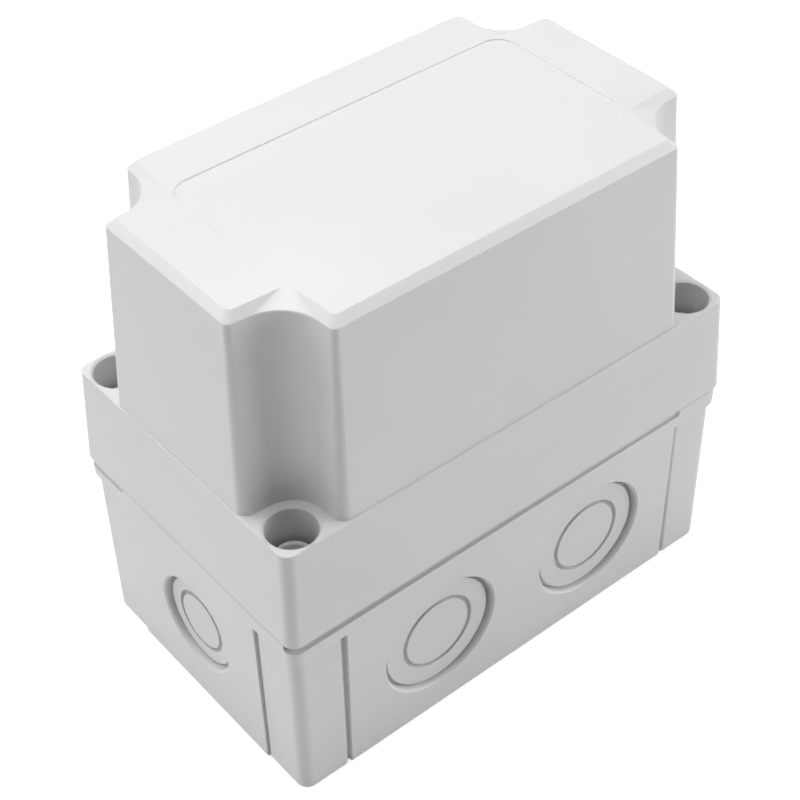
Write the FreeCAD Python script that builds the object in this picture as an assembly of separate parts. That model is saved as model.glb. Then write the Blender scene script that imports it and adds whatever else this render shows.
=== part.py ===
import FreeCAD, Part
import math
import os

# Small wall-mounted enclosure in moulded polycarbonate: a drafted base, and a deep cover that
# turns on two pins behind the rear wall and is held shut by four captive corner screws.
# Millimetres. The origin is the centre of the underside, X runs along the long side, Z is up.

V = FreeCAD.Vector

# Overall size
length = 130.0
width = 80.0
height = 127.0
parting_z = 50.5
running_gap = 0.3

# Cover
skirt_height = 26.2
skirt_draft = 1.2
skirt_corner_r = 2.8
shoulder_short = 1.6
shoulder_long = 1.9
block_draft = 2.5
block_foot_edge_r = 2.8
block_top_edge_r = 1.5
block_inner_edge_r = 0.8
chamfer_in = 1.9
chamfer_down = 1.9
scoop_r = 8.0
scoop_top_r = 5.0
flank_flare = 4.0
cover_wall = 2.6
roof = 2.8
label_inset = 19.0
label_corner_r = 5.0
label_depth = 0.35

# Screw wells in the cover
well_inset = 7.95
well_r = 5.75
well_lip = 0.4
ledge_depth = 18.5
ledge_web = 1.2

# Seal between the two halves
groove_inset = 1.3
groove_width = 1.8
groove_depth = 2.4
groove_rib = 1.0
seal_turn_r = 3.7
seal_bend_r = 6.0
tongue_width = 1.0
gasket_thick = 1.4

# Base
rim_inset = 0.35
rim_height = 5.8
rim_slope = 2.4
rim_draft = 0.1
corner_step = 1.1
base_corner_r = 3.0
panel_draft = 0.25
panel_end_long = 14.4
panel_end_short = 14.2
panel_edge_r = 0.9
panel_foot_r = 1.1
foot_chamfer = 0.5
base_wall = 2.95
base_draft = 0.8
floor_thick = 3.0
rebate_depth = 1.3
rebate_width = 1.0
tower_core_r = 3.6
tower_cap = 14.0

# Knockouts
knockout_z = 24.5
knockout_pitch = 46.7
knockout_disc_r_long = 9.1
knockout_disc_r_short = 7.1
knockout_ring_r_long = 14.9
knockout_ring_r_short = 11.4
knockout_sink = 1.7
knockout_groove = 1.1
knockout_outer_groove = 0.7
knockout_flare = 15.0
knockout_web = 0.7

# Floor bosses
plate_inset_x = 15.0
plate_inset_y = 25.0
plate_boss_r = 4.3
plate_boss_height = 10.0
plate_insert_r = 2.8
plate_insert_length = 8.0
plate_thread_r = 1.65
fixing_inset_x = 25.0
fixing_inset_y = 15.0
fixing_hole_r = 2.25
fixing_ring_r = 5.0
fixing_ring_height = 1.5

# Cover screws, with their washers, retaining rings and inserts
screw_raised = 8.0
head_r = 4.4
head_height = 4.6
head_rim = 0.65
head_dish = 2.2
slot_width = 1.3
slot_depth = 1.2
waist_r = 1.6
thread_r = 2.0
tip_clear = 0.4
shank_clear = 0.05
tip_chamfer = 0.5
washer_r = 4.2
washer_thick = 0.8
ring_r = 3.4
ring_thick = 1.0
ring_play = 0.1
insert_r = 2.9
insert_length = 5.8
insert_sink = 0.6
insert_relief_r = 2.5
insert_relief = 3.0

# Hinges
hinge_inset = 22.0
pin_offset = 4.2
pin_r = 1.5
pin_clear = 0.05
pin_chamfer = 0.3
knuckle_r = 3.6
cover_knuckle = 9.0
base_knuckle = 6.0
base_web_drop = 9.5
cover_web_rise = 12.0
web_step = 1.2

# Heights and places that follow
half_l = length / 2
half_w = width / 2
flange_z = parting_z + skirt_height
rim_z = parting_z - running_gap
rim_low_z = rim_z - rim_height
step_z = rim_low_z - rim_slope
well_x = half_l - well_inset
well_y = half_w - well_inset
panel_x = half_l - panel_end_long
panel_y = half_w - panel_end_short
plate_x = half_l - plate_inset_x
plate_y = half_w - plate_inset_y
fixing_x = half_l - fixing_inset_x
fixing_y = half_w - fixing_inset_y
hinge_x = half_l - hinge_inset
ledge_z = flange_z - ledge_depth
head_top_z = flange_z - screw_raised
head_low_z = head_top_z - head_height
washer_low_z = head_low_z - washer_thick
ring_top_z = ledge_z - ledge_web
ring_low_z = ring_top_z - ring_thick
thread_top_z = ring_low_z - ring_play
tip_z = parting_z + tip_clear
pin_y = half_w + pin_offset
pin_z = parting_z
base_inner = rim_inset + base_wall
groove_end = groove_inset + groove_width
mouth_inset = groove_end + groove_rib
tongue_inset = groove_inset + (groove_width - tongue_width) / 2
tongue_z = parting_z + groove_depth - gasket_thick
corner_inset = rim_inset + rim_draft + corner_step
overlap = 2.0


def corner_arc(before, corner, after):
    """The arc that rounds one corner of an outline, tangent to both of its sides."""
    x, y, r = corner
    to_before = V(before[0] - x, before[1] - y, 0).normalize()
    to_after = V(after[0] - x, after[1] - y, 0).normalize()
    half_angle = to_before.getAngle(to_after) / 2
    tangent = r / math.tan(half_angle)
    bisector = (to_before + to_after).normalize()
    apex = V(x, y, 0) + bisector * (r / math.sin(half_angle) - r)
    return V(x, y, 0) + to_before * tangent, apex, V(x, y, 0) + to_after * tangent


def outline(corners, z):
    """A closed wire at height z through corners (x, y, radius), each rounded by its arc."""
    count = len(corners)
    ends = []
    edges = []
    for i, corner in enumerate(corners):
        if corner[2] == 0:
            point = V(corner[0], corner[1], z)
            ends.append((point, point))
            continue
        arc = corner_arc(corners[i - 1], corner, corners[(i + 1) % count])
        start, apex, end = [point + V(0, 0, z) for point in arc]
        edges.append(Part.Arc(start, apex, end).toShape())
        ends.append((start, end))
    for i in range(count):
        edges.append(Part.makeLine(ends[i][1], ends[(i + 1) % count][0]))
    return Part.Wire(Part.__sortEdges__(edges))


def loft(levels):
    """A solid with straight drafted walls through outlines given as (corners, z)."""
    return Part.makeLoft([outline(corners, z) for corners, z in levels], True, True)


def rectangle(hx, hy, r):
    return [(hx, hy, r), (-hx, hy, r), (-hx, -hy, r), (hx, -hy, r)]


def scooped(hx, hy, edge_r, reach, hollow_r):
    """A rectangle whose corners are hollowed out round the screw wells.

    Two flanks pass each well's axis at the distance reach, leaning out by flank_flare. They
    meet in an arc of hollow_r, and meet the faces in edges rounded by edge_r.
    """
    c = math.cos(math.radians(flank_flare))
    s = math.sin(math.radians(flank_flare))
    on_long = (well_x - (reach + s * (hy - well_y)) / c, hy, edge_r)
    on_short = (hx, well_y - (reach + s * (hx - well_x)) / c, edge_r)
    inside = (well_x - reach / (c + s), well_y - reach / (c + s), hollow_r)
    quarter = [on_short, inside, on_long]
    corners = []
    for sx, sy in ((1, 1), (-1, 1), (-1, -1), (1, -1)):
        turned = quarter if sx * sy > 0 else quarter[::-1]
        corners += [(sx * x, sy * y, r) for x, y, r in turned]
    return corners


def seal_line(inset):
    """The line that the seal follows, inset from the outer face and inside the screws."""
    turn_r = seal_turn_r + inset
    return scooped(half_l - inset, half_w - inset, seal_bend_r - inset, turn_r, turn_r)


def ring_between(outer_inset, inner_inset, low_z, high_z):
    outer = loft([(seal_line(outer_inset), low_z), (seal_line(outer_inset), high_z)])
    inner = loft([(seal_line(inner_inset), low_z), (seal_line(inner_inset), high_z)])
    return outer.cut(inner)


def rod(r, x, y, low_z, high_z):
    return Part.makeCylinder(r, high_z - low_z, V(x, y, low_z))


def rod_x(r, x_low, x_high, y, z):
    return Part.makeCylinder(r, x_high - x_low, V(x_low, y, z), V(1, 0, 0))


def tube(outer_r, inner_r, x, y, low_z, high_z):
    return rod(outer_r, x, y, low_z, high_z).cut(rod(inner_r, x, y, low_z, high_z))


def bottom_edges(shape, z):
    tolerance = 1e-6
    return [e for e in shape.Edges if abs(e.BoundBox.ZMax - z) < tolerance]


def four(x, y):
    return [(sx * x, sy * y) for sx, sy in ((-1, -1), (1, -1), (-1, 1), (1, 1))]


def tangent_point(y, z, side):
    """Where a line from (y, z) touches the knuckle, on its outer side."""
    dy = pin_y - y
    dz = pin_z - z
    distance = math.hypot(dy, dz)
    turn = math.acos(knuckle_r / distance)
    angle = math.atan2(-dz, -dy) + side * turn
    return pin_y + knuckle_r * math.cos(angle), pin_z + knuckle_r * math.sin(angle)


def knuckle(x_low, x_high, wall_y, far_z, near_z, side, bore_r):
    """A hinge knuckle with the web that carries it on the rear wall."""
    touch_y, touch_z = tangent_point(wall_y, far_z, side)
    points = [(wall_y, far_z), (touch_y, touch_z), (pin_y, pin_z), (pin_y, near_z), (wall_y, near_z)]
    web = Part.makePolygon([V(x_low, y, z) for y, z in points + points[:1]])
    web = Part.Face(web).extrude(V(x_high - x_low, 0, 0))
    barrel = rod_x(knuckle_r, x_low, x_high, pin_y, pin_z)
    bore = rod_x(bore_r, x_low - overlap, x_high + overlap, pin_y, pin_z)
    return barrel.fuse(web).cut(bore).removeSplitter()


def corner_cut():
    """What is taken off one corner of the base, between the proud panels and below the rim."""
    over = overlap / 2
    rise = over * corner_step / rim_slope
    face = rim_inset + rim_draft
    foot = corner_inset + panel_draft

    def core(inset):
        return rectangle(half_l - inset, half_w - inset, base_corner_r)

    kept = loft([
        (core(foot + foot_chamfer + overlap), -overlap),
        (core(foot), foot_chamfer),
        (core(corner_inset), step_z),
        (core(face - rise), rim_low_z + over),
    ])
    face_x = half_l - face
    face_y = half_w - face
    far_x = half_l + overlap
    far_y = half_w + overlap
    past = panel_edge_r + overlap
    plan = outline([
        (panel_x, panel_y, 0), (face_x, panel_y, panel_edge_r), (face_x, panel_y - past, 0),
        (far_x, panel_y - past, 0), (far_x, far_y, 0), (panel_x - past, far_y, 0),
        (panel_x - past, face_y, 0), (panel_x, face_y, panel_edge_r),
    ], -overlap)
    column = Part.Face(plan).extrude(V(0, 0, rim_low_z + over + overlap))
    return column.cut(kept)


def base_shell():
    """Drafted outside: a rim all round, stepped-in corners and a proud panel on each face."""
    face = rim_inset + rim_draft
    low = face + panel_draft
    foot_plan = rectangle(half_l - low, half_w - low, base_corner_r)
    plinth = 2 * panel_foot_r
    foot = Part.Face(outline(foot_plan, 0)).extrude(V(0, 0, plinth))
    foot = foot.makeFillet(panel_foot_r, bottom_edges(foot, 0))
    shell = loft([
        (foot_plan, plinth),
        (rectangle(half_l - face, half_w - face, base_corner_r), rim_low_z),
        (rectangle(half_l - rim_inset, half_w - rim_inset, base_corner_r), rim_z),
    ]).fuse(foot)
    cut = corner_cut()
    flip_x = cut.mirror(V(0, 0, 0), V(1, 0, 0))
    flip_y = cut.mirror(V(0, 0, 0), V(0, 1, 0))
    both = flip_x.mirror(V(0, 0, 0), V(0, 1, 0))
    return shell.cut([cut, flip_x, flip_y, both])


def base_cavity():
    return loft([
        (seal_line(base_inner + base_draft), floor_thick),
        (seal_line(base_inner), rim_z + overlap),
    ])


def knockout_cut(disc_r, ring_r, half_span):
    """A sunk pair of knockouts, a disc inside a ring, cut along Y into the face at half_span.

    Both lie knockout_sink below the face. The groove round each of them leaves a thin web.
    """
    face_y = half_span - rim_inset - rim_draft
    top_y = face_y - knockout_sink
    floor_y = half_span - base_inner - base_draft / 2 + knockout_web
    slope = math.tan(math.radians(knockout_flare))
    floor_r = ring_r + knockout_outer_groove
    mouth_r = floor_r + (face_y + overlap - floor_y) * slope
    axis = V(0, 1, 0)
    field = Part.makeCone(mouth_r, floor_r, face_y + overlap - floor_y,
                          V(0, -face_y - overlap, knockout_z), axis)
    ring = Part.makeCylinder(ring_r, top_y - floor_y, V(0, -top_y, knockout_z), axis)
    gap = Part.makeCylinder(disc_r + knockout_groove, top_y - floor_y,
                            V(0, -top_y, knockout_z), axis)
    disc = Part.makeCylinder(disc_r, top_y - floor_y, V(0, -top_y, knockout_z), axis)
    return field.cut([ring.cut(gap), disc])


def knockout_cuts():
    """Two larger pairs in each long face and a smaller one in each short face."""
    large = knockout_cut(knockout_disc_r_long, knockout_ring_r_long, half_w)
    small = knockout_cut(knockout_disc_r_short, knockout_ring_r_short, half_l)
    cuts = []
    for turn in (0, 180):
        for side in (-1, 1):
            cut = large.copy()
            cut.translate(V(side * knockout_pitch / 2, 0, 0))
            cut.rotate(V(0, 0, 0), V(0, 0, 1), turn)
            cuts.append(cut)
        cut = small.copy()
        cut.rotate(V(0, 0, 0), V(0, 0, 1), turn - 90)
        cuts.append(cut)
    return cuts


def rim_rebates():
    """The rim's outer edge is lowered along the long faces and round one end of each."""
    tall = rebate_depth + overlap
    long_run = Part.makeBox(half_l + panel_x + overlap, rebate_width + overlap, tall,
                            V(-half_l - overlap, -half_w + rim_inset - overlap, rim_z - rebate_depth))
    short_run = Part.makeBox(rebate_width + overlap, half_w - panel_y + overlap, tall,
                             V(-half_l + rim_inset - overlap, panel_y,
                               rim_z - rebate_depth))
    cuts = []
    for turn in (0, 180):
        for run in (long_run, short_run):
            cut = run.copy()
            cut.rotate(V(0, 0, 0), V(0, 0, 1), turn)
            cuts.append(cut)
    return cuts


def make_base():
    body = base_shell().cut(base_cavity())
    tongue = ring_between(tongue_inset, tongue_inset + tongue_width, rim_z - overlap, tongue_z)
    body = body.fuse(tongue)
    floor_low = floor_thick - overlap
    for x, y in four(plate_x, plate_y):
        body = body.fuse(rod(plate_boss_r, x, y, floor_low, floor_thick + plate_boss_height))
    for x, y in four(fixing_x, fixing_y):
        body = body.fuse(rod(fixing_ring_r, x, y, floor_low, floor_thick + fixing_ring_height))
    reach = cover_knuckle / 2 + running_gap
    wall_y = half_w - base_inner / 2
    for side in (-1, 1):
        for inner in (-reach - base_knuckle, reach):
            x_low = side * hinge_x + inner
            body = body.fuse(knuckle(x_low, x_low + base_knuckle, wall_y, pin_z - base_web_drop,
                                     pin_z - web_step, 1, pin_r))
    cuts = knockout_cuts() + rim_rebates()
    for x, y in four(well_x, well_y):
        insert_top = rim_z - insert_sink
        insert_low = insert_top - insert_length
        cuts.append(rod(insert_r, x, y, insert_low, rim_z + overlap))
        cuts.append(rod(insert_relief_r, x, y, insert_low - insert_relief, insert_low))
        cuts.append(rod(tower_core_r, x, y, -overlap, rim_z - tower_cap))
    for x, y in four(plate_x, plate_y):
        top = floor_thick + plate_boss_height
        cuts.append(rod(plate_insert_r, x, y, top - plate_insert_length, top + overlap))
    for x, y in four(fixing_x, fixing_y):
        cuts.append(rod(fixing_hole_r, x, y, -overlap, floor_thick + fixing_ring_height + overlap))
    return body.cut(cuts).removeSplitter()


def cover_outside():
    """A skirt over the base's rim, and a narrower block that leaves room for the screws."""
    skirt = loft([
        (rectangle(half_l, half_w, skirt_corner_r), parting_z),
        (rectangle(half_l - skirt_draft, half_w - skirt_draft, skirt_corner_r), flange_z),
    ])

    def block(inset, edge_r, hollow_r):
        return scooped(half_l - shoulder_short - inset, half_w - shoulder_long - inset,
                       edge_r, scoop_r + inset, hollow_r)

    rise = block(0, block_foot_edge_r, scoop_r)
    upper = block(block_draft, block_top_edge_r, scoop_r + block_draft)
    top = block(block_draft + chamfer_in, block_top_edge_r, scoop_top_r)
    tower = loft([(rise, flange_z - overlap), (rise, flange_z),
                  (upper, height - chamfer_down), (top, height)])
    return skirt.fuse(tower)


def cover_cavity():
    def inside(inset):
        behind = scoop_r + cover_wall + inset
        return scooped(half_l - shoulder_short - cover_wall - inset,
                       half_w - shoulder_long - cover_wall - inset,
                       block_inner_edge_r, behind, behind)

    return loft([
        (seal_line(mouth_inset), parting_z - overlap),
        (seal_line(mouth_inset), parting_z + groove_depth),
        (inside(0), flange_z - cover_wall),
        (inside(block_draft), height - roof),
    ])


def make_cover():
    body = cover_outside().cut(cover_cavity())
    reach = cover_knuckle / 2
    wall_y = half_w - mouth_inset / 2
    for side in (-1, 1):
        x_low = side * hinge_x - reach
        body = body.fuse(knuckle(x_low, x_low + cover_knuckle, wall_y, pin_z + cover_web_rise,
                                 pin_z + web_step, -1, pin_r + pin_clear))
    field = rectangle(half_l - label_inset, half_w - label_inset, label_corner_r)
    label = loft([(field, height - label_depth), (field, height + overlap)])
    cuts = [label, ring_between(groove_inset, groove_end, parting_z - overlap,
                                parting_z + groove_depth)]
    for x, y in four(well_x, well_y):
        cuts.append(rod(well_r, x, y, ledge_z, flange_z + overlap))
        cuts.append(Part.makeCone(well_r, well_r + well_lip, well_lip,
                                  V(x, y, flange_z - well_lip)))
        cuts.append(rod(thread_r + running_gap, x, y, parting_z - overlap, ledge_z + overlap))
        cuts.append(rod(ring_r, x, y, parting_z - overlap, ring_top_z))
    return body.cut(cuts).removeSplitter()


def make_gasket():
    return ring_between(groove_inset, groove_end, tongue_z, parting_z + groove_depth)


def make_screw(x, y):
    """Captive screw: a dished head with a cross slot, a thin waist and a threaded tip."""
    head = rod(head_r, x, y, head_low_z, head_top_z)
    dish_z = head_top_z - head_dish
    head = head.cut(rod(head_r - head_rim, x, y, dish_z, head_top_z + overlap))
    span = 2 * (head_r - 2 * head_rim)
    for long_x, long_y in ((span, slot_width), (slot_width, span)):
        slot = Part.makeBox(long_x, long_y, slot_depth + overlap,
                            V(x - long_x / 2, y - long_y / 2, dish_z - slot_depth))
        head = head.cut(slot)
    waist = rod(waist_r, x, y, thread_top_z, head_low_z)
    thread = rod(thread_r, x, y, tip_z + tip_chamfer, thread_top_z)
    tip = Part.makeCone(thread_r - tip_chamfer, thread_r, tip_chamfer, V(x, y, tip_z))
    return head.fuse([waist, thread, tip]).removeSplitter()


def make_washer(x, y):
    return tube(washer_r, waist_r + shank_clear, x, y, washer_low_z, head_low_z)


def make_ring(x, y):
    return tube(ring_r, waist_r + shank_clear, x, y, ring_low_z, ring_top_z)


def make_insert(x, y):
    top = rim_z - insert_sink
    return tube(insert_r, thread_r + shank_clear, x, y, top - insert_length, top)


def make_plate_insert(x, y):
    top = floor_thick + plate_boss_height
    return tube(plate_insert_r, plate_thread_r, x, y, top - plate_insert_length, top)


def make_pin(side):
    reach = cover_knuckle / 2 + running_gap + base_knuckle
    x_low = side * hinge_x - reach
    x_high = side * hinge_x + reach
    pin = rod_x(pin_r, x_low, x_high, pin_y, pin_z)
    ends = [e for e in pin.Edges if e.Curve.TypeId == "Part::GeomCircle"]
    return pin.makeChamfer(pin_chamfer, ends)


def save(name, shape):
    if shape.ShapeType == "Compound" and len(shape.Solids) == 1:
        shape = shape.Solids[0]
    print(name, shape.ShapeType, len(shape.Solids), shape.isValid(), round(shape.Volume, 2))
    shape.exportStep("parts/" + name + ".step")


os.makedirs("parts", exist_ok=True)
corner_names = ("front_left", "front_right", "rear_left", "rear_right")
save("base", make_base())
save("cover", make_cover())
save("cover_gasket", make_gasket())
for corner, (x, y) in zip(corner_names, four(well_x, well_y)):
    save("cover_screw_" + corner, make_screw(x, y))
    save("screw_washer_" + corner, make_washer(x, y))
    save("retaining_ring_" + corner, make_ring(x, y))
    save("tower_insert_" + corner, make_insert(x, y))
for corner, (x, y) in zip(corner_names, four(plate_x, plate_y)):
    save("plate_insert_" + corner, make_plate_insert(x, y))
save("hinge_pin_left", make_pin(-1))
save("hinge_pin_right", make_pin(1))
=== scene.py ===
import bmesh
import bpy
import numpy as np
from mathutils import Matrix
from mathutils.geometry import delaunay_2d_cdt


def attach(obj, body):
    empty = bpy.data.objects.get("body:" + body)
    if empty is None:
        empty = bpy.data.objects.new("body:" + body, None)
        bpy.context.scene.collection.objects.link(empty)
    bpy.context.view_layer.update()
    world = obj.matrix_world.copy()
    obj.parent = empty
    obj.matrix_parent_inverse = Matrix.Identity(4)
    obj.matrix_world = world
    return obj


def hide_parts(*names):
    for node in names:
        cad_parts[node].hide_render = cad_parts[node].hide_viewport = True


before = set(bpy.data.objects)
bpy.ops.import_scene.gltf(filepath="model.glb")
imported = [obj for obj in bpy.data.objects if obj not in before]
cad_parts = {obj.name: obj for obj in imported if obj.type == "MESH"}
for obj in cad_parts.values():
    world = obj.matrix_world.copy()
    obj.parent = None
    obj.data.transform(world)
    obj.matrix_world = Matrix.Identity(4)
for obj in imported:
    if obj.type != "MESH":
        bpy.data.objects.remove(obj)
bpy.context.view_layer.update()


# Cover. A deep lid injection-moulded in light grey polycarbonate. Its skirt stands over the
# base's rim, its block is drafted, and its corners are scooped out round the screw wells.

half_l = 65.0
half_w = 40.0
parting_z = 50.5
flange_z = 77.0
top_z = 127.0
roof_z = 124.2
skirt_draft = 1.2
skirt_r = 2.8
label_half_l = 46.0
label_half_w = 21.0
label_r = 5.0
label_depth = 0.35
well_x = 57.05
well_y = 32.05
ledge_z = 58.2
ring_top_z = 57.0
groove_z = 52.9
groove_out = 1.3
groove_in = 3.1
mouth_inset = 4.1
seal_edge_r = 6.0
seal_turn_r = 3.7
hinge_x = 43.0
pin_y = 44.2
knuckle_r = 3.6
cover_knuckle_half = 4.5


def softened(points, reach):
    """A section whose corners are rounded.

    Each inner corner c is replaced by four steps of the curve (1-t)^2 a + 2t(1-t) c + t^2 b,
    where a and b lie on its two sides at that corner's reach. Points may have any number of
    coordinates.
    """
    points = np.asarray(points, float)
    corner = points[1:-1, None]
    reach = np.reshape(reach, (-1, 1, 1)) * np.ones_like(corner)
    back = points[:-2, None] - corner
    ahead = points[2:, None] - corner
    a = corner + back / np.linalg.norm(back, axis=-1, keepdims=True) * reach
    b = corner + ahead / np.linalg.norm(ahead, axis=-1, keepdims=True) * reach
    t = np.linspace(0, 1, 5)[:, None]
    curve = (1 - t) ** 2 * a + 2 * t * (1 - t) * corner + t ** 2 * b
    return np.concatenate([points[:1], curve.reshape(-1, points.shape[1]), points[-1:]])


def arc(x, y, r, start, end, count):
    """Points at equal steps of angle about a centre: x + r cos(angle), y + r sin(angle)."""
    angle = np.radians(np.linspace(start, end, count + 1))
    return np.stack([x + r * np.cos(angle), y + r * np.sin(angle)], axis=-1)


def all_round(quarter):
    """A quarter of a line and its three reflections, joined anticlockwise."""
    back = quarter[..., ::-1, :]
    return np.concatenate([quarter, back * (-1, 1), quarter * (-1, -1), back * (1, -1)], axis=-2)


def rounded_line(hx, hy, r):
    """Rectangles of half sizes hx, hy: an arc of radius r about each corner's centre."""
    hx, hy, r = [np.reshape(v, (-1, 1)) * 1.0 for v in (hx, hy, r)]
    return all_round(arc(hx - r, hy - r, r, 0, 90, 12))


def scooped_line(hx, hy, edge_r, reach, hollow_r):
    """Rectangles whose corners are hollowed out round the screws.

    Two flanks pass the screw's axis at the distance reach and lean out by 4 degrees. An arc of
    hollow_r, whose centre is (reach - hollow_r) / (c + s) inside that axis along X and Y, joins
    them. An edge of edge_r, whose centre is edge_r inside flank and face, ends each of them.
    """
    hx, hy, edge_r, reach, hollow_r = [
        np.reshape(v, (-1, 1)) * 1.0 for v in (hx, hy, edge_r, reach, hollow_r)]
    lean = 4.0
    c, s = np.cos(np.radians(lean)), np.sin(np.radians(lean))
    within = (reach - hollow_r) / (c + s)
    short_x = hx - edge_r
    short_y = (s * (well_x - short_x) - reach - edge_r) / c + well_y
    long_y = hy - edge_r
    long_x = (s * (well_y - long_y) - reach - edge_r) / c + well_x
    return all_round(np.concatenate([
        arc(short_x, short_y, edge_r, 0, 90 - lean, 8),
        arc(well_x - within, well_y - within, hollow_r, 270 - lean, 180 + lean, 24),
        arc(long_x, long_y, edge_r, lean, 90, 8),
    ], axis=1))


def skirt_line(inset):
    return rounded_line(half_l - inset, half_w - inset, skirt_r)


def seal_line(inset):
    return scooped_line(half_l - inset, half_w - inset, seal_edge_r - inset,
                        seal_turn_r + inset, seal_turn_r + inset)


def circle(x, y, r, count=64):
    return arc(x, y, r, 0, 360 - 360 / count, count - 1)


def at(line, z):
    """Lifts plane lines (levels, points, 2) to the height of each level."""
    z = np.reshape(z, (-1, 1, 1)) * np.ones_like(line[..., :1])
    return np.concatenate([line, z], axis=-1)


def four(x, y):
    return [(-x, -y), (x, -y), (-x, y), (x, y)]


def wall(levels, keep=None):
    """Quads between neighbouring levels of points (levels, points, 3), closed round."""
    rows, columns = levels.shape[:2]
    index = np.arange(rows * columns).reshape(rows, columns)
    ahead = np.roll(index, -1, axis=1)
    faces = np.stack([index[:-1], ahead[:-1], ahead[1:], index[1:]], axis=-1)
    faces = faces.reshape(-1, 4) if keep is None else faces[keep]
    return levels.reshape(-1, 3), faces


def flat(lines, lift):
    """Triangles of the plane that lie inside an odd number of closed lines (points, 2).

    A triangle is kept when a ray from its middle crosses the lines an odd number of times.
    """
    points = np.concatenate(lines)
    sizes = np.array([len(line) for line in lines])
    first = np.repeat(np.cumsum(sizes) - sizes, sizes)
    along = np.arange(len(points)) - first
    edges = np.stack([first + along, first + (along + 1) % np.repeat(sizes, sizes)], axis=1)
    made = delaunay_2d_cdt(points.tolist(), edges.tolist(), [], 0, 1e-6)
    corners = np.array([tuple(v) for v in made[0]])
    faces = np.array(made[2])
    x, y = corners[faces].mean(axis=1).T[:, :, None]
    (ax, ay), (bx, by) = points[edges[:, 0]].T, points[edges[:, 1]].T
    rise = np.where(by == ay, 1.0, by - ay)
    crossed = ((ay > y) != (by > y)) & (x < ax + (bx - ax) * (y - ay) / rise)
    return lift(corners), faces[crossed.sum(axis=1) % 2 == 1]


def level(lines, z):
    lines = [np.squeeze(line, axis=0) if line.ndim == 3 else line for line in lines]
    return flat(lines, lambda p: np.column_stack([p, np.full(len(p), z)]))


def turned(x, y, section, count=64):
    """A section (radius, z) turned about a vertical axis: x + r cos, y + r sin, z."""
    section = np.asarray(section, float)
    return wall(at(circle(x, y, section[:, :1], count), section[:, 1]))


def bar(outline, bore, x_low, x_high):
    """A straight bar along X with a bore, through an outline of (y, z).

    Towards both ends the outline moves in along its own normals by edge (1 - sin a), as x
    nears the end by edge cos a, so its end edges are rounded.
    """
    edge = 0.3
    ahead = np.roll(outline, -1, axis=0) - outline
    ahead /= np.linalg.norm(ahead, axis=1, keepdims=True)
    normal = np.stack([ahead[:, 1], -ahead[:, 0]], axis=1)
    normal = normal + np.roll(normal, 1, axis=0)
    normal /= np.linalg.norm(normal, axis=1, keepdims=True)
    turn = np.radians(np.linspace(0, 90, 5))
    shrink = edge * (1 - np.sin(turn))
    step = edge - edge * np.cos(turn)
    x = np.concatenate([x_low + step, (x_high - step)[::-1]])
    inward = np.concatenate([shrink, shrink[::-1]])
    yz = outline - inward[:, None, None] * normal
    side = np.concatenate([x[:, None, None] * np.ones_like(yz[..., :1]), yz], axis=-1)
    hole = np.stack([at_x(bore, x_low), at_x(bore, x_high)])
    ends = [flat([yz[0], bore], lambda p, x=x: at_x(p, x)) for x in (x_low, x_high)]
    return [wall(side), wall(hole)] + ends


def at_x(line, x):
    return np.column_stack([np.full(len(line), x), line])


def knuckle(x_low, x_high, wall_y, far, near, bore_r):
    """A hinge knuckle: a barrel round the pin and a web to the rear wall, tangent to it.

    far and near are the web's heights at the wall, measured from the pin along Z.
    """
    side = np.sign(far)
    reach = np.hypot(pin_y - wall_y, far)
    touch = np.arctan2(abs(far), wall_y - pin_y) - np.arccos(knuckle_r / reach)
    leave = np.pi - np.arcsin(abs(near) / knuckle_r)
    angle = np.linspace(touch, leave - 2 * np.pi, 40)
    barrel = np.stack([knuckle_r * np.cos(angle), knuckle_r * np.sin(angle)], axis=1)
    outline = np.concatenate([[(wall_y - pin_y, abs(far))], barrel,
                              [(wall_y - pin_y, abs(near))]])
    outline = outline * (1, side) + (pin_y, parting_z)
    return bar(outline[::int(-side)], circle(pin_y, parting_z, bore_r, 40), x_low, x_high)


def piece(name, parts, body, finish, replaces=None):
    """One mesh from surface parts in millimetres: where their borders meet they are merged."""
    sizes = [len(points) for points, faces in parts]
    starts = np.cumsum(sizes) - sizes
    faces = sum([(f + start).tolist() for (p, f), start in zip(parts, starts)], [])
    mesh = bpy.data.meshes.new(name)
    mesh.from_pydata((np.concatenate([p for p, f in parts]) / 1000).tolist(), [], faces)
    work = bmesh.new()
    work.from_mesh(mesh)
    bmesh.ops.remove_doubles(work, verts=work.verts, dist=2e-6)
    bmesh.ops.dissolve_degenerate(work, edges=work.edges, dist=5e-7)
    bmesh.ops.recalc_face_normals(work, faces=work.faces)
    work.to_mesh(mesh)
    work.free()
    mesh.shade_smooth()
    mesh.set_sharp_from_angle(angle=np.radians(38))
    made = bpy.data.objects.new(name, mesh)
    bpy.context.scene.collection.objects.link(made)
    made.modifiers.new("flat faces stay flat", "WEIGHTED_NORMAL").keep_sharp = True
    made.data.materials.append(finish)
    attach(made, body)
    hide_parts(replaces or name)


def linear(code):
    """An sRGB hex colour as the linear colour that a shader takes."""
    value = np.array([int(code[i:i + 2], 16) for i in (1, 3, 5)]) / 255
    value = np.where(value <= 0.04045, value / 12.92, ((value + 0.055) / 1.055) ** 2.4)
    return (*value.tolist(), 1.0)


def node(tree, kind, inputs=None, **settings):
    """Adds a shader node; an input is a value, or another node's output to link."""
    made = tree.nodes.new(kind)
    for name, value in settings.items():
        setattr(made, name, value)
    for name, value in (inputs or {}).items():
        if isinstance(value, bpy.types.NodeSocket):
            tree.links.new(value, made.inputs[name])
        else:
            made.inputs[name].default_value = value
    return made


def surface(name, **values):
    """A new material: its tree, its Principled shader and the object's own coordinates."""
    made = bpy.data.materials.new(name)
    made.use_nodes = True
    tree = made.node_tree
    shader = tree.nodes["Principled BSDF"]
    for key, value in values.items():
        shader.inputs[key.replace("_", " ")].default_value = value
    return made, tree, shader, node(tree, "ShaderNodeTexCoord").outputs["Object"]


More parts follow.
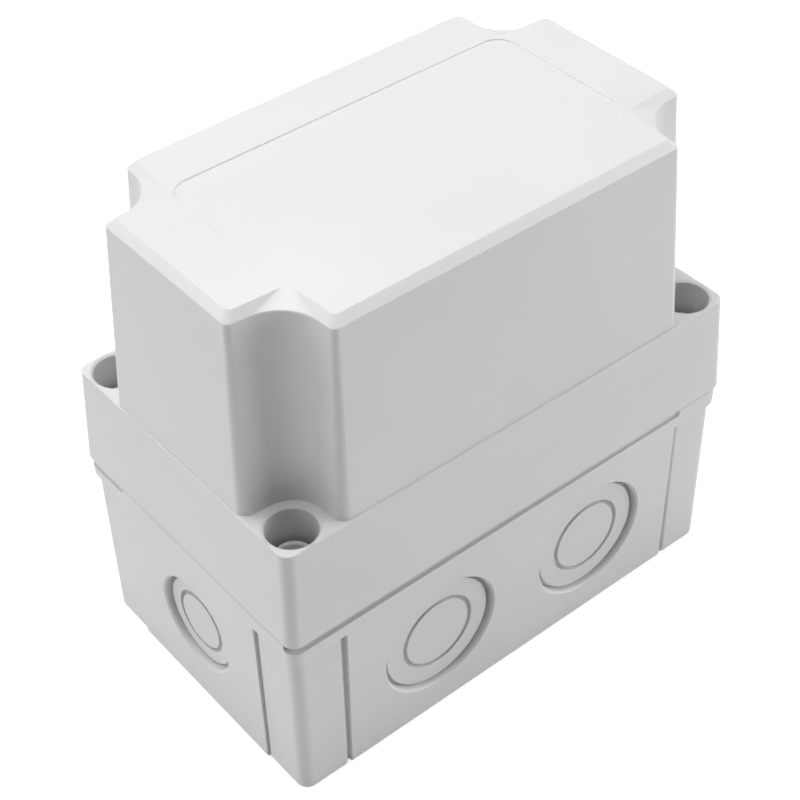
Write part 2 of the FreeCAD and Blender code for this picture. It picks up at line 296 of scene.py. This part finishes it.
def tinted(tree, shader, value, low, high, start=0.0, end=1.0):
    """Colours the surface from low to high, two hex colours, as a value goes from start to end."""
    ramp = node(tree, "ShaderNodeValToRGB", {"Fac": value})
    first, last = ramp.color_ramp.elements
    first.position = start
    first.color = linear(low)
    last.position = end
    last.color = linear(high)
    tree.links.new(ramp.outputs["Color"], shader.inputs["Base Color"])


def roughened(tree, shader, value, low, high):
    """Gives the surface a roughness from low to high as a value goes from 0 to 1."""
    gloss = node(tree, "ShaderNodeMapRange", {"Value": value, "To Min": low, "To Max": high})
    tree.links.new(gloss.outputs["Result"], shader.inputs["Roughness"])


def embossed(tree, shader, value, strength, distance):
    """Bends the surface's normals as if a value were its height, scaled to distance metres."""
    bump = node(tree, "ShaderNodeBump", {"Height": value, "Strength": strength,
                                         "Distance": distance})
    tree.links.new(bump.outputs["Normal"], shader.inputs["Normal"])


# Moulded polycarbonate: satin, a spark-eroded grain of about 0.3 mm, and very faint broad
# clouds of tone where the melt flowed. The eye gets soft highlights and clean pale edges.
polycarbonate, tree, shader, place = surface("moulded polycarbonate, light grey", IOR=1.585)
cloud = node(tree, "ShaderNodeTexNoise", {"Vector": place, "Scale": 22.0, "Detail": 3.0})
tinted(tree, shader, cloud.outputs["Fac"], "#DADADA", "#DFDFDF", 0.3, 0.7)
grain = node(tree, "ShaderNodeTexNoise", {"Vector": place, "Scale": 1600.0, "Detail": 2.0})
roughened(tree, shader, grain.outputs["Fac"], 0.40, 0.52)
embossed(tree, shader, grain.outputs["Fac"], 0.25, 0.00004)

skirt = softened([(0.6, parting_z), (0, parting_z), (skirt_draft, flange_z),
                  (skirt_draft + 0.35, flange_z)], [0.6, 0.35])
block = softened([
    (63.4, 38.2, 2.8, 7.8, 7.8, flange_z),
    (60.9, 35.6, 1.5, 10.5, 10.5, 125.1),
    (59.0, 33.7, 1.5, 12.4, 2.2, top_z),
    (58.5, 33.2, 1.5, 12.9, 2.7, top_z),
], [0.5, 0.45])
label = softened([(-0.12, top_z), (0, top_z), (0.06, top_z - label_depth),
                  (0.4, top_z - label_depth)], [0.12, 0.12])
groove = softened([(groove_out, parting_z), (groove_out, groove_z), (groove_in, groove_z),
                   (groove_in, parting_z)], [0.15, 0.15])
cavity = softened([
    (60.9, 35.9, 1.9, 7.8, 7.8, parting_z),
    (60.9, 35.9, 1.9, 7.8, 7.8, groove_z),
    (60.8, 35.5, 0.8, 10.6, 10.6, 74.1),
    (58.3, 33.0, 0.8, 13.1, 13.1, roof_z),
    (57.8, 32.5, 0.8, 13.6, 13.6, roof_z),
], [0.3, 2.0, 0.3])
well = softened([(6.5, flange_z), (6.3, flange_z), (5.75, 76.55), (5.75, ledge_z),
                 (2.3, ledge_z), (2.3, ring_top_z), (3.4, ring_top_z), (3.4, parting_z)],
                [0.12, 0.12, 0.4, 0.15, 0.1, 0.1])


def label_line(inset):
    return rounded_line(label_half_l - inset, label_half_w - inset, label_r - inset)


def scooped_wall(levels):
    """Levels given as half sizes, edge radius, reach, hollow radius and height."""
    values = np.asarray(levels, float).T
    return at(scooped_line(*values[:5]), values[5])


wells = four(well_x, well_y)
parts = [
    wall(at(skirt_line(skirt[:, 0]), skirt[:, 1])),
    wall(scooped_wall(block)),
    wall(at(label_line(label[:, 0]), label[:, 1])),
    wall(at(seal_line(groove[:, 0]), groove[:, 1])),
    wall(scooped_wall(cavity)),
    level([skirt_line(skirt[-1, 0]), scooped_wall(block[:1])[..., :2]]
          + [circle(x, y, well[0, 0]) for x, y in wells], flange_z),
    level([scooped_wall(block[-1:])[..., :2], label_line(label[0, 0])], top_z),
    level([label_line(label[-1, 0])], top_z - label_depth),
    level([skirt_line(skirt[0, 0]), seal_line(groove_out)]
          + [circle(x, y, well[-1, 0]) for x, y in wells], parting_z),
    level([seal_line(groove_in), seal_line(mouth_inset)], parting_z),
    level([scooped_wall(cavity[-1:])[..., :2]], roof_z),
]
for x, y in wells:
    parts.append(turned(x, y, well))
for side in (-1, 1):
    parts += knuckle(side * hinge_x - cover_knuckle_half, side * hinge_x + cover_knuckle_half,
                     wall_y=half_w - 2.05, far=12.0, near=1.2, bore_r=1.55)
piece("moulded_cover", parts, "cover", polycarbonate, "cover")


# Base. The lower half, moulded in the same polycarbonate: a rim with a lowered outer edge, on
# each face a drafted panel with round knockouts between two narrow slots, corners that lie
# almost flush with the panels at the foot, and towers and bosses inside.

rim_z = 50.2
ledge_low_z = 48.3
rim_low_z = 45.3
slot_top_z = 44.4
step_z = 44.0
floor_z = 3.0
foot_r = 0.6
corner_r = 3.0
panel_x = 50.1
panel_y = 25.0
slot = 0.95
slot_lead = 0.3
short_slot = 0.45
short_fuller = 0.35
tongue_out = 1.7
tongue_in = 2.7
inner_inset = 3.3
base_knuckle = 6.0
pin_half_l = 10.8
pin_r = 1.5
quarter_turns = [(1, 0), (0, 1), (-1, 0), (0, -1)]
quarter_points = 35


def face_inset(z, fuller=0.0):
    """The draft below the rim: 0.45 at the rim's foot, 1.2 - fuller at the underside."""
    return 0.45 + (0.75 - fuller) * (rim_low_z - z) / rim_low_z


def base_line(inset, step, cut, fuller):
    """The base's outline at each level: panels, a slot at each panel's end, and corners.

    Across a slot the depth is the smaller of cut and a rounded edge on the panel's side, then
    cut, then step plus the smaller of cut - step and a larger rounded edge on the corner's
    side. A corner is an arc of corner_r inside the faces that lie at the depth step. The short
    sides' panels stand out by fuller, and their slots are narrower.
    """
    inset, step, cut, fuller = [
        np.reshape(v, (-1, 1)) * 1.0 for v in (inset, step, cut, fuller)]
    along = np.array([[-slot_lead, -0.15, -0.04, 0, 0.02, slot - 0.02, slot, slot + 0.12, slot + 0.4,
                       slot + 0.8]])
    depth = np.concatenate([np.minimum([[0, 0.03, 0.12, 0.3]], cut), cut, cut,
                            step + np.minimum([[0.55, 0.25, 0.06, 0]], cut - step)], axis=1)
    hx = half_l - inset
    hy = half_w - inset
    out = fuller * (along < 0.01)
    short = np.stack([hx + out - depth, panel_y + short_slot * along + 0 * hx], axis=-1)
    long = np.stack([panel_x + along + 0 * hy, hy - depth], axis=-1)
    corner = arc(hx - step - corner_r, hy - step - corner_r, corner_r, 0, 90, 12)
    before, after = corner[:, :1] - (0, 0.02), corner[:, -1:] - (0.02, 0)
    return all_round(np.concatenate([short, before, corner, after, long[:, ::-1]], axis=1))


def rim_line(outer, rebate):
    """The rim: outer + (rebate - outer) share, with the share of the rebate at each point.

    The rebate is whole round two opposite corners, grows shallower along the long faces as far
    as the far slot, and is shallow on each short face from that side's slot into the corner.
    """
    line, deeper = base_line(outer, 0, 0, 0), base_line(rebate, 0, 0, 0)
    short_slot_end, corner_start, corner_middle, long_panel_end = 6, 11, 17, 30
    quarter = np.arange(quarter_points)
    place = np.tile(np.concatenate([quarter, quarter[::-1]]), 2)
    on_short = (place >= short_slot_end) & (place <= corner_middle)
    shallow = 0.6 * (place >= long_panel_end) + 0.35 * on_short
    round_corner = line[..., 0] * line[..., 1] > 0
    share = np.where(round_corner, place >= corner_start, shallow)
    return line + (deeper - line) * share[..., None]


def on_side(turns, half, along, z, inset):
    """A point of a face: along it, up it, and in from the straight line at half."""
    c, s = quarter_turns[turns]
    out = -(half - inset)
    return np.stack([along * c - out * s, along * s + out * c, z], axis=-1)


sides = np.concatenate([
    softened([(0.372, 0.0, 0.0, 0.0, ledge_low_z), (0.45, 0.0, 0.0, 0.0, rim_low_z),
              (0.465, 0.48, 0.48, 0.0, slot_top_z + 0.03)], [0.35]),
    softened([(face_inset(z), step, cut, face_inset(z) - face_inset(z, short_fuller), z)
              for step, cut, z in ((0.5, 1.4, slot_top_z), (0.69, 1.4, step_z),
                                   (0.15, 0.95, foot_r))], [0.3])])
turn = np.radians(np.linspace(0, 90, 7))[1:]
foot = np.stack([face_inset(foot_r) + foot_r - foot_r * np.cos(turn), np.full(6, 0.15),
                 np.full(6, 0.95), np.full(6, sides[-1, 3]), foot_r - foot_r * np.sin(turn)],
                axis=1)
outside = np.concatenate([sides, foot])
rows_z = outside[:, 4]
panel_row = len(sides) - 2
keep = np.ones((len(rows_z) - 1, 4 * quarter_points), bool)
keep[panel_row, quarter_points - 1::quarter_points] = False

rim = np.concatenate([at(rim_line(outer, rebate), z) for outer, rebate, z in (
    (0.372, 0.372, ledge_low_z), (0.37, 0.45, ledge_low_z + 0.04),
    (0.368, 1.3, ledge_low_z + 0.06), (0.364, 1.4, ledge_low_z + 0.2), (0.36, 1.4, 49.6),
    (0.42, 1.4, 49.85), (0.6, 1.4, 50.08), (0.9, 1.45, rim_z))])
tongue = softened([(tongue_out, rim_z), (tongue_out, 51.5), (tongue_in, 51.5),
                   (tongue_in, rim_z)], [0.25, 0.25])
inner = softened([
    (61.7, 36.7, 2.7, 7.0, 7.0, rim_z), (60.9, 35.9, 1.9, 7.8, 7.8, floor_z),
    (59.9, 34.9, 1.9, 8.8, 8.8, floor_z)], [0.8])
core = softened([(3.6, 0), (3.6, 36.2), (0, 36.2)], [0.5])
bore = softened([(2.9, rim_z), (2.9, 43.8), (2.5, 43.8), (2.5, 40.8), (0, 40.8)],
                [0.05, 0.05, 0.4])
boss = softened([(4.7, floor_z), (4.3, floor_z), (4.25, 13.0), (2.8, 13.0), (2.8, 5.0), (0, 5.0)],
                [0.4, 0.25, 0.1, 0.3])
fixing = softened([(5.25, floor_z), (5.0, floor_z), (4.95, 4.5), (2.25, 4.5), (2.25, 0)],
                  [0.25, 0.25, 0.2])
bosses = four(50, 15)
fixings = four(40, 25)

parts = [
    wall(at(base_line(*outside.T[:4]), rows_z), keep),
    wall(rim),
    wall(at(seal_line(tongue[:, 0]), tongue[:, 1])),
    wall(scooped_wall(inner)),
    level([rim[-1, :, :2], seal_line(tongue_out)]
          + [circle(x, y, bore[0, 0]) for x, y in wells], rim_z),
    level([seal_line(tongue_in), seal_line(inner_inset)], rim_z),
    level([scooped_wall(inner[-1:])[..., :2]]
          + [circle(x, y, boss[0, 0]) for x, y in bosses]
          + [circle(x, y, fixing[0, 0]) for x, y in fixings], floor_z),
    level([base_line(*outside[-1, :4])]
          + [circle(x, y, core[0, 0]) for x, y in wells]
          + [circle(x, y, fixing[-1, 0]) for x, y in fixings], 0.0),
]
for x, y in wells:
    parts += [turned(x, y, core), turned(x, y, bore)]
for x, y in bosses:
    parts.append(turned(x, y, boss))
for x, y in fixings:
    parts.append(turned(x, y, fixing))


# Knockouts. Each is a disc inside a ring, both sunk into the panel and moulded thin at their
# grooves, so that either of two sizes tears out. Each long face has two and each short face one.
knock_x = 23.35
knock_z = 24.5
knock_margin = 2.0


def knockout(turns, half, centre, disc_r, ring_r, fuller):
    """A disc in a ring: its section gives radius, share of the face's draft, and depth."""
    top, low = 2.15, 3.4
    section = softened([
        (ring_r + knock_margin, 1, 0), (ring_r + 1.45, 1, 0), (ring_r + 1.0, 1, 0.45),
        (ring_r + 0.8, 0, low), (ring_r, 0, low), (ring_r, 0, top), (disc_r + 1.1, 0, top),
        (disc_r + 1.0, 0, low), (disc_r + 0.1, 0, low), (disc_r, 0, top), (0, 0, top)],
        [0.1, 0.3, 0.15, 0.15, 0.2, 0.15, 0.2, 0.2, 0.15])
    r, share, depth = section.T[:, :, None]
    angle = np.radians(np.arange(96) * 360 / 96)
    along = centre + r * np.cos(angle)
    z = knock_z + r * np.sin(angle)
    return wall(on_side(turns, half, along, z, share * face_inset(z, fuller) + depth))


long_face = (half_w, panel_x - slot_lead, (-knock_x, knock_x), 9.1, 14.9, 0.0)
short_face = (half_l, panel_y - slot_lead * short_slot, (0,), 7.1, 11.4, short_fuller)
for turns in range(4):
    half, end, centres, disc_r, ring_r, fuller = (long_face, short_face)[turns % 2]
    low, high = rows_z[panel_row + 1], rows_z[panel_row]
    border = np.array([(-end, low), (end, low), (end, high), (-end, high)])
    rings = [circle(c, knock_z, ring_r + knock_margin, 96) for c in centres]
    parts.append(flat([border] + rings, lambda p: on_side(turns, half, p[:, 0], p[:, 1],
                                                          face_inset(p[:, 1], fuller))))
    parts += [knockout(turns, half, c, disc_r, ring_r, fuller) for c in centres]
for side in (-1, 1):
    for low in (side * hinge_x - pin_half_l, side * hinge_x + pin_half_l - base_knuckle):
        parts += knuckle(low, low + base_knuckle, wall_y=half_w - 1.65, far=-9.5, near=-1.2,
                         bore_r=pin_r)
piece("moulded_base", parts, "base", polycarbonate, "base")


# Seal. A foamed polyurethane bead, dispensed into the cover's groove, where it sticks. Its free
# side is domed and lies on the base's tongue.
foam, tree, shader, place = surface("foamed polyurethane, dark grey", Roughness=0.9)
pores = node(tree, "ShaderNodeTexVoronoi", {"Vector": place, "Scale": 2600.0})
tinted(tree, shader, pores.outputs["Distance"], "#232425", "#3B3C3D")
embossed(tree, shader, pores.outputs["Distance"], 0.6, 0.0001)

bead = softened([(1.32, groove_z), (1.32, 51.65), (1.9, 51.5), (2.5, 51.5), (3.08, 51.65),
                 (3.08, groove_z), (2.2, groove_z)], [0.15, 0.3, 0.3, 0.15, 0.1])
bead = np.concatenate([bead, bead[:1]])
piece("foamed_seal", [wall(at(seal_line(bead[:, 0]), bead[:, 1]))], "cover", foam,
      "cover_gasket")


# Cover screws. Captive screws moulded in grey glass-filled polyamide, with a dished head, a
# cross slot, a thin waist that the retaining ring holds, and an M4 thread.
head_top = 68.7
dish_z = 66.2
slot_z = 65.3
head_low = 64.1
waist_low = 55.9
tip_z = 50.9
head_r = 4.4
dish_r = 3.0
waist_r = 1.6
thread_r = 2.0
pitch = 0.7
corner_names = ("front_left", "front_right", "rear_left", "rear_right")

polyamide, tree, shader, place = surface("glass-filled polyamide, grey", IOR=1.53)
stretched = node(tree, "ShaderNodeMapping", {"Vector": place, "Scale": (1.0, 1.0, 0.15)})
fibres = node(tree, "ShaderNodeTexNoise", {"Vector": stretched.outputs["Vector"],
                                           "Scale": 3200.0, "Detail": 4.0})
tinted(tree, shader, fibres.outputs["Fac"], "#CBCDCC", "#D6D8D7", 0.35, 0.65)
roughened(tree, shader, fibres.outputs["Fac"], 0.32, 0.46)


def cross_line(x, y, reach, half):
    """A plus sign with arms of half width half, softened at its twelve corners."""
    quarter = [(reach, -half), (reach, half), (half, half)]
    corners = [(a * c - b * s, a * s + b * c)
               for c, s in quarter_turns for a, b in quarter]
    closed = softened(corners[-1:] + corners + corners[:1], [0.12] * 12)[1:-1]
    return closed + (x, y)


def threaded(x, y, low, high, minor, major, ends):
    """A helical surface: r(angle, z) = minor + (major - minor) tooth(z / pitch - angle / 360).

    The tooth is a clipped triangle wave of height 0 to 1. It fades to 0 over ends at each end.
    """
    z = np.linspace(low, high, int(round((high - low) / 0.05)) + 1)[:, None]
    angle = np.radians(np.arange(48) * 7.5)[None]
    phase = (z / pitch - angle / (2 * np.pi)) % 1
    tooth = np.clip(1.5 - np.abs(phase - 0.5) * 4, 0, 1)
    fade = np.clip(np.minimum((z - low) / ends[0], (high - z) / ends[1]), 0, 1)
    r = minor + (major - minor) * tooth * fade
    return np.stack([x + r * np.cos(angle), y + r * np.sin(angle), z + 0 * angle], axis=-1)


for corner, (x, y) in zip(corner_names, wells):
    head = softened([(waist_r, waist_low), (waist_r, head_low), (head_r, head_low),
                     (head_r, head_top), (dish_r + 0.35, head_top), (dish_r + 0.25, dish_z),
                     (dish_r, dish_z)], [0.15, 0.2, 0.35, 0.35, 0.2])
    cross = cross_line(x, y, reach=2.8, half=0.65)
    thread = threaded(x, y, tip_z + 0.3, waist_low, waist_r, thread_r, ends=(0.5, 0.35))
    piece("captive_screw_" + corner, [
        turned(x, y, head, 48),
        level([circle(x, y, dish_r, 48), cross], dish_z),
        wall(at(np.stack([cross, cross]), [dish_z, slot_z])),
        level([cross], slot_z),
        wall(thread),
        turned(x, y, softened([(waist_r, tip_z + 0.3), (1.35, tip_z), (0, tip_z)], [0.1]), 48),
    ], "screw_" + corner, polyamide, "cover_screw_" + corner)


# Screw washers. Soft black rubber, each a loose ring under its screw's head. Its two faces
# keep 0.02 mm clear of the head and, when the screw is driven home, of the cover's ledge.
rubber, tree, shader, place = surface("black rubber", IOR=1.52)
bloom = node(tree, "ShaderNodeTexNoise", {"Vector": place, "Scale": 900.0, "Detail": 3.0})
tinted(tree, shader, bloom.outputs["Fac"], "#191919", "#262626")
roughened(tree, shader, bloom.outputs["Fac"], 0.55, 0.75)


def washer(x, y, inner_r, outer_r, low, high, edge):
    section = softened([(inner_r, (low + high) / 2), (inner_r, low), (outer_r, low),
                        (outer_r, high), (inner_r, high), (inner_r, (low + high) / 2)],
                       [edge] * 4)
    return turned(x, y, section, 48)


for corner, (x, y) in zip(corner_names, wells):
    piece("rubber_washer_" + corner, [washer(x, y, 1.65, 4.2, low=63.32, high=64.08, edge=0.2)],
          "washer_" + corner, rubber, "screw_washer_" + corner)


# Retaining rings. Natural polyamide, pushed over each screw's waist below the ledge, so that
# the loosened screws stay in the cover.
natural, tree, shader, place = surface("natural polyamide", IOR=1.53, Subsurface_Weight=0.15,
                                       Subsurface_Scale=0.0006)
milk = node(tree, "ShaderNodeTexNoise", {"Vector": place, "Scale": 700.0, "Detail": 2.0})
tinted(tree, shader, milk.outputs["Fac"], "#CFCBBE", "#DCD9CD")
roughened(tree, shader, milk.outputs["Fac"], 0.35, 0.5)

for corner, (x, y) in zip(corner_names, wells):
    ring = washer(x, y, 1.65, 3.4, low=ring_top_z - 1.0, high=ring_top_z, edge=0.15)
    piece("push_on_ring_" + corner, [ring], "cover", natural,
          "retaining_ring_" + corner)


# Inserts. Turned brass with a knurled outside and an M4 thread, pressed hot into the towers for
# the cover screws and into the bosses for the plate.
brass, tree, shader, place = surface("turned brass", Metallic=1.0)
rings = node(tree, "ShaderNodeMapping", {"Vector": place, "Scale": (0.2, 0.2, 6.0)})
marks = node(tree, "ShaderNodeTexNoise", {"Vector": rings.outputs["Vector"], "Scale": 1500.0,
                                          "Detail": 3.0})
tinted(tree, shader, marks.outputs["Fac"], "#B8934E", "#D2B06A")
roughened(tree, shader, marks.outputs["Fac"], 0.22, 0.38)


def insert(x, y, outer_r, bore_r, low, high):
    """A knurled tube: its wall is r(angle, z) = outer_r - deep groove(teeth angle, z).

    The groove is the larger of two crossed cosine waves, so it leaves raised diamonds. The
    bore carries the thread, cut outward from bore_r.
    """
    deep, teeth = 0.12, 24
    z = np.concatenate([[low + 0.35], np.linspace(low + 0.45, high - 0.6, 24), [high - 0.5]])
    angle = np.radians(np.arange(96) * 3.75)[None]
    lift = teeth * (z[:, None] - low) / outer_r
    crossed = np.maximum(np.cos(teeth * angle + lift), np.cos(teeth * angle - lift))
    groove = crossed * 0.5 + 0.5
    groove[[0, -1]] = 1
    r = outer_r - deep * groove
    knurl = np.stack([x + r * np.cos(angle), y + r * np.sin(angle), z[:, None] + 0 * r], axis=-1)
    foot = softened([(bore_r, low), (outer_r - deep, low), (outer_r - deep, low + 0.35)], [0.15])
    neck = softened([(outer_r - deep, high - 0.5), (outer_r, high - 0.5), (outer_r, high),
                     (bore_r + 0.25, high), (bore_r, high - 0.25)], [0.05, 0.08, 0.05])
    thread = threaded(x, y, low, high - 0.25, bore_r, bore_r + 0.3, ends=(0.3, 0.3))
    return [turned(x, y, foot, 96), wall(knurl), turned(x, y, neck, 96), wall(thread)]


for corner, (x, y) in zip(corner_names, wells):
    tube = insert(x, y, outer_r=2.9, bore_r=2.05, low=43.8, high=49.6)
    piece("brass_tower_insert_" + corner, tube, "base", brass, "tower_insert_" + corner)
for corner, (x, y) in zip(corner_names, bosses):
    tube = insert(x, y, outer_r=2.8, bore_r=1.65, low=5.0, high=13.0)
    piece("brass_plate_insert_" + corner, tube, "base", brass, "plate_insert_" + corner)


# Hinge pins. Drawn stainless steel with chamfered ends, pressed into the base's knuckles; the
# cover's knuckle turns on them.
steel, tree, shader, place = surface("drawn stainless steel", Metallic=1.0)
drawn = node(tree, "ShaderNodeMapping", {"Vector": place, "Scale": (0.04, 1.0, 1.0)})
lines = node(tree, "ShaderNodeTexNoise", {"Vector": drawn.outputs["Vector"], "Scale": 4000.0,
                                          "Detail": 3.0})
tinted(tree, shader, lines.outputs["Fac"], "#A8A8A6", "#C6C6C4")
roughened(tree, shader, lines.outputs["Fac"], 0.2, 0.4)

for side, name in ((-1, "left"), (1, "right")):
    low, high = side * hinge_x - pin_half_l, side * hinge_x + pin_half_l
    section = softened([(0, low), (pin_r - 0.3, low), (pin_r, low + 0.3), (pin_r, high - 0.3),
                        (pin_r - 0.3, high), (0, high)], [0.06, 0.1, 0.1, 0.06])
    points, faces = turned(pin_y, parting_z, section, 48)
    piece("steel_pin_" + name, [(points[:, [2, 0, 1]], faces)], "base", steel,
          "hinge_pin_" + name)


# Camera, at the photograph's viewing angle: 42 degrees above the left front corner, about
# 0.47 m away, with a long lens and a slight tilt.
distance = 0.46563
azimuth, height, roll = np.radians([-38.63, 42.07, -1.40])
back = np.array([np.sin(azimuth) * np.cos(height), -np.cos(azimuth) * np.cos(height),
                 np.sin(height)])
right = np.array([np.cos(azimuth), np.sin(azimuth), 0])
up = np.cross(back, right)
tilted = [np.cos(roll) * right + np.sin(roll) * up, np.cos(roll) * up - np.sin(roll) * right, back]
aim = np.array([0.015998, 0.023092, 0.031051])
view = bpy.data.cameras.new("studio camera")
view.lens = 81.88
view.sensor_width = 36.0
view.clip_start = 0.01
camera = bpy.data.objects.new("studio camera", view)
bpy.context.scene.collection.objects.link(camera)
matrix = Matrix(np.stack(tilted, axis=1).tolist()).to_4x4()
matrix.translation = (aim + distance * back).tolist()
camera.matrix_world = matrix
bpy.context.scene.camera = camera
bpy.context.scene.view_settings.view_transform = "Standard"


# Floor and light. A white sweep under the part that glows more the further it lies away, two
# broad soft lights above, one of them behind, two on the left and two on the right. The room is
# white for the camera only.
floor_mesh = bpy.data.meshes.new("floor")
floor_mesh.from_pydata([(-3, -3, 0), (3, -3, 0), (3, 3, 0), (-3, 3, 0)], [], [(0, 1, 2, 3)])
floor = bpy.data.objects.new("floor", floor_mesh)
bpy.context.scene.collection.objects.link(floor)
paper, tree, shader, place = surface("white paper sweep", Roughness=0.9,
                                     Base_Color=linear("#DCDCDC"))
away = node(tree, "ShaderNodeVectorMath", {0: place}, operation="LENGTH")
strength = node(tree, "ShaderNodeMapRange", {"Value": away.outputs["Value"], "From Min": 0.3,
                                             "From Max": 1.2, "To Min": 0.62, "To Max": 1.0})
glow = node(tree, "ShaderNodeEmission", {"Strength": strength.outputs["Result"]})
both = node(tree, "ShaderNodeAddShader", {0: shader.outputs[0], 1: glow.outputs[0]})
rays = node(tree, "ShaderNodeLightPath")
seen = node(tree, "ShaderNodeMath", {0: rays.outputs["Is Camera Ray"],
                                     1: rays.outputs["Is Glossy Ray"]}, operation="MAXIMUM")
seen = node(tree, "ShaderNodeMath", {0: seen.outputs[0],
                                     1: rays.outputs["Is Transmission Ray"]}, operation="MAXIMUM")
mixed = node(tree, "ShaderNodeMixShader", {0: seen.outputs[0], 1: shader.outputs[0],
                                           2: both.outputs[0]})
tree.links.new(mixed.outputs[0], tree.nodes["Material Output"].inputs["Surface"])
floor.data.materials.append(paper)

world = bpy.data.worlds.new("white room")
bpy.context.scene.world = world
world.use_nodes = True
tree = world.node_tree
rays = node(tree, "ShaderNodeLightPath")
tree.links.new(rays.outputs["Is Camera Ray"], tree.nodes["Background"].inputs["Strength"])
tree.nodes["Background"].inputs["Color"].default_value = (1, 1, 1, 1)


def soft_light(name, place, size, power, tint):
    """A round lamp of diameter size in metres and power in watts, aimed at the part's middle."""
    lamp = bpy.data.lights.new(name, "AREA")
    lamp.shape = "DISK"
    lamp.size = size
    lamp.energy = power
    lamp.color = tint
    made = bpy.data.objects.new(name, lamp)
    bpy.context.scene.collection.objects.link(made)
    middle = (0, 0, 0.06)
    towards = np.array(place) - middle
    aside = np.cross((0, 0, 1), towards)
    axes = [v / np.linalg.norm(v) for v in (aside, np.cross(towards, aside), towards)]
    matrix = Matrix(np.stack(axes, axis=1).tolist()).to_4x4()
    matrix.translation = place
    made.matrix_world = matrix


warm = (1.0, 0.993, 0.986)
neutral = (1.0, 0.998, 0.997)
cool = (0.982, 0.99, 1.0)
soft_light("overhead softbox", (0.0, 0.05, 1.1), 0.9, 7.6, warm)
soft_light("upper rear softbox", (-0.05, 0.55, 1.0), 0.9, 4.6, warm)
soft_light("left softbox", (-1.1, 0.15, 0.45), 0.7, 2.3, cool)
soft_light("left rear softbox", (-0.8, 0.8, 0.6), 0.7, 3.6, cool)
soft_light("right front softbox", (0.75, -0.75, 0.4), 0.7, 5.7, neutral)
soft_light("right softbox", (1.1, -0.25, 0.4), 0.7, 1.3, neutral)
